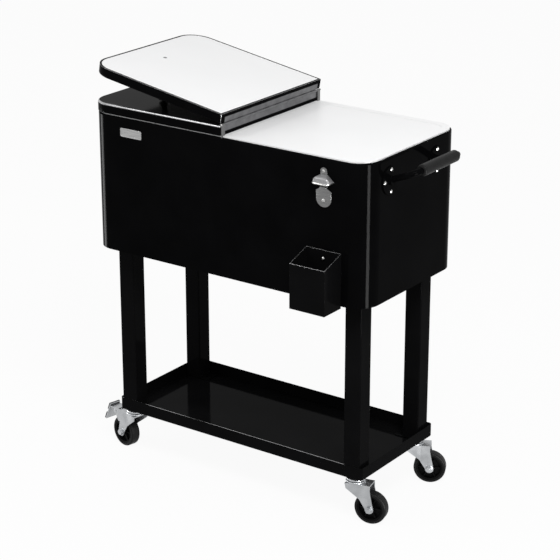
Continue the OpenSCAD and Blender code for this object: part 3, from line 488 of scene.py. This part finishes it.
# %% [markdown]
# ## Screws with crossed heads: the tree's inputs
# Sixteen screws hold the handle flanges, two the opener and one the catcher.
# They are all the same bought screw, so one Geometry Nodes tree makes it and
# sets it on points, instead of nineteen copies made by hand. Its sizes are
# named inputs, and the head's radius is read from the CAD screws.

# %% Start the screw tree
screws_low, screws_high = map(Vector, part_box("opener_screws"))
head_radius = (screws_high.x - screws_low.x) / 2
head_height = 0.0024
screw_tree = bpy.data.node_groups.new("crossed_screws", "GeometryNodeTree")
screw_sockets = {}
for name, kind, value in (("Geometry", "Geometry", None), ("Head radius", "Float", head_radius),
                          ("Head height", "Float", head_height), ("Shank radius", "Float", 0.002),
                          ("Shank length", "Float", 0.010), ("Seed", "Int", 3),
                          ("Material", "Material", None)):
    socket = screw_tree.interface.new_socket(name, in_out="INPUT",
                                             socket_type="NodeSocket" + kind)
    if value is not None:
        socket.default_value = value
    screw_sockets[name] = socket.identifier
screw_tree.interface.new_socket("Geometry", in_out="OUTPUT", socket_type="NodeSocketGeometry")
given = add_node(screw_tree, "NodeGroupInput").outputs
print("head radius", round(head_radius, 4), "inputs", len(screw_sockets))

# %% [markdown]
# ## Head and shank
# The head is a low rim with a flattened dome on it, and the shank goes into
# the steel. A revolved profile would do as well, but three solids joined by an
# exact Boolean stay closed whatever the sizes are.

# %% Screw body
def share_of(source, factor):
    node = add_node(screw_tree, "ShaderNodeMath", {0: source}, operation="MULTIPLY")
    node.inputs[1].default_value = factor
    return node.outputs[0]


def lifted(mesh, z):
    place = add_node(screw_tree, "ShaderNodeCombineXYZ", {"Z": z}).outputs[0]
    return add_node(screw_tree, "GeometryNodeTransform",
                    {"Geometry": mesh, "Translation": place}).outputs[0]


rim_share = 0.4
crown_share = 0.6
shank_middle = -0.49
rim = add_node(screw_tree, "GeometryNodeMeshCylinder", {
    "Radius": given["Head radius"],
    "Depth": share_of(given["Head height"], rim_share)}, Vertices=32)
dome = add_node(screw_tree, "GeometryNodeMeshCone", {
    "Radius Bottom": given["Head radius"],
    "Radius Top": share_of(given["Head radius"], crown_share),
    "Depth": share_of(given["Head height"], 1 - rim_share)}, Vertices=32)
shank = add_node(screw_tree, "GeometryNodeMeshCylinder", {
    "Radius": given["Shank radius"], "Depth": given["Shank length"]}, Vertices=16)
whole = add_node(screw_tree, "GeometryNodeMeshBoolean", operation="UNION", solver="EXACT")
for solid, lift in ((rim, share_of(given["Head height"], rim_share / 2)),
                    (dome, share_of(given["Head height"], rim_share)),
                    (shank, share_of(given["Shank length"], shank_middle))):
    screw_tree.links.new(lifted(solid.outputs["Mesh"], lift), whole.inputs["Mesh 2"])
print("solids joined:", len(whole.inputs["Mesh 2"].links))

# %% [markdown]
# ## The cross
# A driver's cross could be drawn as a dark picture, but a real recess has walls
# that catch the light. Two bars, one wide and one deep, are cut out of the
# head's upper half. Each bar is linked to the Boolean by itself: joined first,
# the two cross inside one mesh, and the exact Boolean then gave no screw.

# %% Cut the cross
bar_long, bar_thin = 1.1, 0.22
crossed = add_node(screw_tree, "GeometryNodeMeshBoolean", {"Mesh 1": whole.outputs["Mesh"]},
                   operation="DIFFERENCE", solver="EXACT")
for wide, deep in ((bar_long, bar_thin), (bar_thin, bar_long)):
    size = add_node(screw_tree, "ShaderNodeCombineXYZ", {
        "X": share_of(given["Head radius"], wide), "Y": share_of(given["Head radius"], deep),
        "Z": given["Head height"]}).outputs[0]
    bar = add_node(screw_tree, "GeometryNodeMeshCube", {"Size": size}).outputs["Mesh"]
    screw_tree.links.new(lifted(bar, given["Head height"]), crossed.inputs["Mesh 2"])
print("bars cut:", len(crossed.inputs["Mesh 2"].links))

# %% [markdown]
# ## Onto the points
# Each point carries the direction in which its screw's head looks. A fitter
# leaves the crosses turned at random, so a seeded twist about the screw's own
# axis follows. The instances are made real at the end, because an export drops
# instances, and get their material.

# %% Turn and place the screws
looks = add_node(screw_tree, "GeometryNodeInputNamedAttribute", data_type="FLOAT_VECTOR",
                 Name="looks")
facing = add_node(screw_tree, "FunctionNodeAlignRotationToVector",
                  {"Vector": looks.outputs["Attribute"]}, axis="Z")
twist = add_node(screw_tree, "FunctionNodeRandomValue", {"Seed": given["Seed"]},
                 data_type="FLOAT")
for socket in twist.inputs:
    if socket.enabled and socket.name == "Max":
        socket.default_value = math.tau
angle = [socket for socket in twist.outputs if socket.type == "VALUE" and socket.enabled][0]
turn = add_node(screw_tree, "FunctionNodeAxisAngleToRotation", {"Angle": angle})
spun = add_node(screw_tree, "FunctionNodeRotateRotation", {
    "Rotation": facing.outputs[0], "Rotate By": turn.outputs[0]}, rotation_space="LOCAL")
placed = add_node(screw_tree, "GeometryNodeInstanceOnPoints", {
    "Points": given["Geometry"], "Instance": crossed.outputs["Mesh"],
    "Rotation": spun.outputs[0]})
real = add_node(screw_tree, "GeometryNodeRealizeInstances",
                {"Geometry": placed.outputs["Instances"]})
dressed = add_node(screw_tree, "GeometryNodeSetMaterial", {
    "Geometry": real.outputs[0], "Material": given["Material"]})
add_node(screw_tree, "NodeGroupOutput", {0: dressed.outputs[0]})
print("nodes in the screw tree:", len(screw_tree.nodes))

# %% [markdown]
# ## One set of screws
# A set is a mesh of loose points, the seats of its screws, with the tree on it.
# One could put all nineteen into a single set. They are kept in three, because
# each set stands for one CAD node and rides with it.

# %% A set of screws
def set_screws(name, node_name, seats, seed):
    """seats are pairs: the middle of the head's underside, and where it looks."""
    mesh = bpy.data.meshes.new(name)
    mesh.from_pydata([seat for seat, _ in seats], [], [])
    directions = mesh.attributes.new("looks", "FLOAT_VECTOR", "POINT")
    for row, (_, direction) in zip(directions.data, seats):
        row.vector = direction
    piece = bpy.data.objects.new(name, mesh)
    scene.collection.objects.link(piece)
    modifier = piece.modifiers.new("screws", "NODES")
    modifier.node_group = screw_tree
    modifier[screw_sockets["Seed"]] = seed
    modifier[screw_sockets["Material"]] = plating
    bake_modifiers(piece)
    shade_smooth(piece, sharper_than=30)
    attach(piece, "root")
    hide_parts(node_name)
    print(name, "screws", len(seats), "faces", len(piece.data.polygons))

# %% [markdown]
# ## Screws on the handles
# Each handle stands on two round flanges, and each flange has four screws in a
# ring, one at each quarter. The handles sit a little off the tub's middle, the
# right one to the front and the left one to the back. Typing sixteen places
# would invite a slip, so they are worked out from the boxes of the tub and of
# the CAD screws.

# %% Handle screws
tub_low, tub_high = map(Vector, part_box("tub_shell"))
tub_middle_y = (tub_low.y + tub_high.y) / 2
ring_low, ring_high = map(Vector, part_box("handle_screws"))
handle_shift = 0.006
flange_face_x = ring_high.x - head_height
flange_z = (ring_low.z + ring_high.z) / 2
screw_ring = (ring_high.z - ring_low.z) / 2 - head_radius
flange_y = (ring_high.y - ring_low.y) / 2 - head_radius - screw_ring - handle_shift

handle_seats = []
for side in (-1, 1):
    for row in (-1, 1):
        for step_y, step_z in ((0, 1), (1, 0), (0, -1), (-1, 0)):
            handle_seats.append((
                (side * flange_face_x,
                 tub_middle_y - side * handle_shift + row * flange_y + step_y * screw_ring,
                 flange_z + step_z * screw_ring), (side, 0, 0)))
set_screws("handle_screw_set", "handle_screws", handle_seats, seed=3)

# %% [markdown]
# ## Screws on the front
# The opener hangs on two screws, one above the other, and the catcher on one,
# right below them. The heads lie on their plates, so a plate's face is one
# head's height behind the front of its CAD screws' box. Read from there, the
# screws still fit when a plate gets another thickness.

# %% Opener and catcher screws
opener_x = (screws_low.x + screws_high.x) / 2
opener_face_y = screws_low.y + head_height
set_screws("opener_screw_set", "opener_screws",
           [((opener_x, opener_face_y, z), (0, -1, 0))
            for z in (screws_low.z + head_radius, screws_high.z - head_radius)], seed=5)
catcher_screw_low, catcher_screw_high = map(Vector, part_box("catcher_screw"))
set_screws("catcher_screw_set", "catcher_screw",
           [((opener_x, catcher_screw_low.y + head_height,
              (catcher_screw_low.z + catcher_screw_high.z) / 2), (0, -1, 0))], seed=7)

# %% [markdown]
# ## The bottle opener's plate
# The opener is cast in one piece: a flat plate, a lug above it and a hood. The
# plate has a round foot, straight sides and sloping shoulders, and the lug has
# a round top. An outline of arcs and a few corners says just that, and is
# thickened to the front.

# %% Opener plate
opener_foot = Vector((opener_x, tub_low.y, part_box("bottle_opener")[0][2]))
opener_thick = tub_low.y - opener_face_y
plate_w, lug_w, opener_h = 0.038, 0.016, 0.087
shoulder_low, shoulder_high = 0.036, 0.042


def half_turn(radius, middle_z, start, steps=20):
    angles = (start + math.pi * i / steps for i in range(steps + 1))
    return [(radius * math.cos(a), middle_z + radius * math.sin(a)) for a in angles]


def add_plate(shape):
    side, lug = plate_w / 2, lug_w / 2
    outline = (half_turn(side, side, math.pi) + [(side, shoulder_low), (lug, shoulder_high)]
               + half_turn(lug, opener_h - lug, 0) + [(-lug, shoulder_high), (-side, shoulder_low)])
    back = [shape.verts.new((x, 0.0, z)) for x, z in outline]
    front = [shape.verts.new((x, -opener_thick, z)) for x, z in outline]
    shape.faces.new(back)
    shape.faces.new(list(reversed(front)))
    for i in range(len(outline)):
        j = (i + 1) % len(outline)
        shape.faces.new((back[i], back[j], front[j], front[i]))


print("opener plate", round(opener_thick, 4), "thick")

# %% [markdown]
# ## The opener's hood
# The hood swells out from the neck like a small awning and ends in a rolled lip
# of brighter, polished metal, which also paints in the highlight that the lip
# catches. It could be carved from a block, but rings say it better. Each ring
# runs from the wall round two soft corners back to the wall, and it may rise or
# fall on its way to the front. The rings are skinned like a loft, down the
# outside, round the lip and up again inside.

# %% Hood rings
corner_softness = 0.38
hood_outside = (
    # Half widths at the wall and in front, reach, height in front, rise to the wall, in mm
    (8.5, 8.0, 3.0, 71.5, 0.0), (12.0, 11.5, 8.0, 69.8, -1.2), (16.0, 15.0, 13.0, 68.0, -2.8),
    (19.5, 17.6, 15.8, 66.2, -4.2), (22.0, 19.0, 17.0, 63.6, -3.8), (24.0, 19.4, 17.5, 59.6, -1.2),
    (25.0, 19.8, 17.8, 56.8, 1.0))
hood_lip = ((25.6, 20.4, 19.0, 55.4, 2.2), (26.0, 20.7, 19.8, 54.2, 3.0),
            (25.7, 20.3, 19.4, 53.2, 3.6))
hood_inside = ((23.8, 18.4, 17.2, 53.2, 3.6), (22.6, 17.8, 16.2, 59.0, -0.8),
               (18.0, 15.6, 14.2, 64.5, -3.6), (10.5, 10.0, 6.8, 68.0, -1.6),
               (7.8, 7.4, 2.6, 69.5, 0.0))


def hood_ring(*sizes_mm, steps=8):
    wall_half, front_half, reach, z, rise = (size / 1000 for size in sizes_mm)
    corners = [(-wall_half, 0.0), (-front_half, -reach), (front_half, -reach), (wall_half, 0.0)]
    soft = corner_softness * min(reach, front_half)
    plan = [corners[0]]
    for before, corner, after in zip(corners, corners[1:], corners[2:]):
        here = Vector(corner)
        start = here + (Vector(before) - here).normalized() * soft
        end = here + (Vector(after) - here).normalized() * soft
        for i in range(steps + 1):
            t = i / steps
            plan.append(tuple((1 - t) ** 2 * start + 2 * t * (1 - t) * here + t * t * end))
    plan.append(corners[-1])
    return [(x, y, z + rise * (1 + y / reach)) for x, y in plan]


print("points in a ring:", len(hood_ring(*hood_outside[0])))

# %% [markdown]
# ## The opener as a whole
# Plate, hood and the small tooth that grips a cap become one piece with three
# finishes: brushed plate, blasted hood and a brighter polished lip, which is
# partly a painted highlight. A fine bevel rounds the casting's edges, because a
# cast piece has no sharp ones.

# %% Cast the opener
tooth_size = Vector((0.014, 0.007, 0.003))
tooth_z = 0.0445
# The lip's brighter metal is polished and partly a painted highlight.
plate_finish, blasted, polished_lip_highlight = range(3)


def add_hood(shape):
    rings = [[shape.verts.new(point) for point in hood_ring(*row)]
             for row in hood_outside + hood_lip + hood_inside]
    blasted_bands = len(hood_outside) - 1
    polished_highlight_bands = blasted_bands + len(hood_lip)
    for band, (high, low) in enumerate(zip(rings, rings[1:] + rings[:1])):
        for i in range(len(high) - 1):
            face = shape.faces.new((high[i], high[i + 1], low[i + 1], low[i]))
            face.material_index = (blasted if band < blasted_bands else
                                   polished_lip_highlight if band < polished_highlight_bands else plate_finish)
    for end in (0, -1):
        shape.faces.new([ring[end] for ring in rings])


def add_tooth(shape):
    for vertex in bmesh.ops.create_cube(shape, size=1.0)["verts"]:
        vertex.co *= tooth_size
        vertex.co += Vector((0, -tooth_size.y / 2, tooth_z))


def cast_opener():
    shape = bmesh.new()
    add_plate(shape)
    add_hood(shape)
    add_tooth(shape)
    for vertex in shape.verts:
        vertex.co += opener_foot
    piece = piece_of(shape, "opener_cast", stainless, satin_cast, plating)
    round_edges(piece, 0.0009, 3, sharper_than=50)
    bake_modifiers(piece)
    shade_smooth(piece, sharper_than=40)
    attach(piece, "root")
    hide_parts("bottle_opener")
    print("opener faces:", len(piece.data.polygons))


cast_opener()

# %% [markdown]
# ## The badge plate
# A small plate of brushed metal sits at the upper left of the front. It is
# left bare. It is a flat blank with rounded corners and a pressed frame round
# its edge. A relief in the material would look flat from the side, so it is
# drawn as an outline in steps: the outer edge, the top of the frame, its inner
# edge and the sunk field.

# %% Badge plate
badge_l, badge_h, badge_corner = 0.060, 0.020, 0.003
badge_middle = Vector((tub_low.x + 0.121, tub_low.y, tub_high.z - 0.0335))
frame_height, field_height = 0.0014, 0.0010
badge_steps = ((0.0, 0.0), (0.0, field_height), (0.0004, frame_height),
               (0.0016, frame_height), (0.0020, field_height))


def rounded_outline(length, height, radius, steps=8):
    points = []
    for cx, cz, start in ((1, 1, 0), (-1, 1, 90), (-1, -1, 180), (1, -1, 270)):
        for i in range(steps + 1):
            angle = math.radians(start + 90 * i / steps)
            points.append((cx * (length / 2 - radius) + radius * math.cos(angle),
                           cz * (height / 2 - radius) + radius * math.sin(angle)))
    return points


def make_badge():
    shape = bmesh.new()
    rings = []
    for inset, out in badge_steps:
        outline = rounded_outline(badge_l - 2 * inset, badge_h - 2 * inset,
                                  badge_corner - 0.8 * inset)
        rings.append([shape.verts.new(badge_middle + Vector((x, -out, z))) for x, z in outline])
    for low, high in zip(rings, rings[1:]):
        for i in range(len(low)):
            j = (i + 1) % len(low)
            shape.faces.new((low[i], low[j], high[j], high[i]))
    shape.faces.new(rings[-1])
    shape.faces.new(list(reversed(rings[0])))
    plate = piece_of(shape, "badge_plate", bright_stainless)
    shade_smooth(plate, sharper_than=30)
    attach(plate, "root")
    print("badge faces:", len(plate.data.polygons))


make_badge()

# %% [markdown]
# ## The floor
# The photograph has a plain white ground. More light would whiten a pale floor,
# but it would bleach the cart as well. So most of the floor glows white, though
# only for rays from the camera and from glossy and clear surfaces. The rest of
# it is a plain matt floor that keeps the cart's shadow.

# %% Floor
floor_half = 40.0
floor_glow = 0.94


def make_floor():
    mesh = bpy.data.meshes.new("floor")
    mesh.from_pydata([(floor_half * x, floor_half * y, 0)
                      for x, y in ((-1, -1), (1, -1), (1, 1), (-1, 1))], [], [(0, 1, 2, 3)])
    floor = bpy.data.objects.new("floor", mesh)
    scene.collection.objects.link(floor)
    material = bpy.data.materials.new("pale_floor")
    material.use_nodes = True
    tree = material.node_tree
    tree.nodes.clear()
    path = add_node(tree, "ShaderNodeLightPath").outputs
    seen = add_node(tree, "ShaderNodeMath", {0: path["Is Camera Ray"], 1: path["Is Glossy Ray"]},
                    operation="ADD")
    seen_too = add_node(tree, "ShaderNodeMath", {
        0: seen.outputs[0], 1: path["Is Transmission Ray"]}, operation="ADD", use_clamp=True)
    share = add_node(tree, "ShaderNodeMath", {0: seen_too.outputs[0]}, operation="MULTIPLY")
    share.inputs[1].default_value = floor_glow
    matt = add_node(tree, "ShaderNodeBsdfDiffuse", Color=(0.9, 0.9, 0.9, 1))
    glow = add_node(tree, "ShaderNodeEmission", Color=(1, 1, 1, 1), Strength=1.0)
    mix = add_node(tree, "ShaderNodeMixShader", {
        "Fac": share.outputs[0], 1: matt.outputs[0], 2: glow.outputs[0]})
    add_node(tree, "ShaderNodeOutputMaterial", {"Surface": mix.outputs[0]})
    mesh.materials.append(material)
    print("floor:", 2 * floor_half, "m wide")


make_floor()

# %% [markdown]
# ## The sky
# A white world gives the even fill of a studio tent. The camera and glossy
# surfaces see it at full white, as the backdrop. Everything else gets less than
# half of that as light, so that the white cover and lid keep their shading.

# %% Sky
sky_fill = 0.46
world = bpy.data.worlds.new("studio")
scene.world = world
world.use_nodes = True
sky_tree = world.node_tree
sky = sky_tree.nodes["Background"]
sky.inputs["Color"].default_value = (1, 1, 1, 1)
sky_path = add_node(sky_tree, "ShaderNodeLightPath").outputs
sky_seen = add_node(sky_tree, "ShaderNodeMath", {
    0: sky_path["Is Camera Ray"], 1: sky_path["Is Glossy Ray"]}, operation="ADD", use_clamp=True)
sky_level = add_node(sky_tree, "ShaderNodeMapRange", {"Value": sky_seen.outputs[0]},
                     To_Min=sky_fill, To_Max=1.0)
sky_tree.links.new(sky_level.outputs["Result"], sky.inputs["Strength"])
print("sky fill", sky_fill)

# %% [markdown]
# ## The lamps
# Two large soft lamps hang over the cart's left and right front and light its
# white tops. Two small ones stand low at its sides. They are there only for the
# bright lines down the tub's rounded corners, as a photographer's strip
# lights are, so their light on matt surfaces is turned off.

# %% Lamps
def lamp(name, place, aim, width, height, radiance, shine_only=False):
    """The power follows from the lamp's area, so its size can change alone."""
    data = bpy.data.lights.new(name, "AREA")
    data.shape = "RECTANGLE"
    data.size = width
    data.size_y = height
    data.energy = radiance * width * height * math.pi
    light = bpy.data.objects.new(name, data)
    light.location = place
    light.rotation_euler = (Vector(aim) - Vector(place)).to_track_quat("-Z", "Y").to_euler()
    light.visible_camera = False
    light.visible_diffuse = not shine_only
    scene.collection.objects.link(light)
    print(name, round(data.energy, 1), "W")


lamp("lamp_over_left", (-1.8, -1.6, 3.0), (0, 0, 0.7), 0.8, 0.55, 9.0)
lamp("lamp_over_right", (1.6, -1.3, 2.9), (0.1, 0, 0.8), 1.2, 0.9, 16.5)
lamp("lamp_low_right", (1.472, -0.375, 0.27), (0.33, -0.12, 0.62), 0.28, 0.52, 85.0,
     shine_only=True)
lamp("lamp_low_left", (-1.48, -0.32, 0.27), (-0.33, -0.12, 0.62), 0.42, 0.52, 20.0,
     shine_only=True)
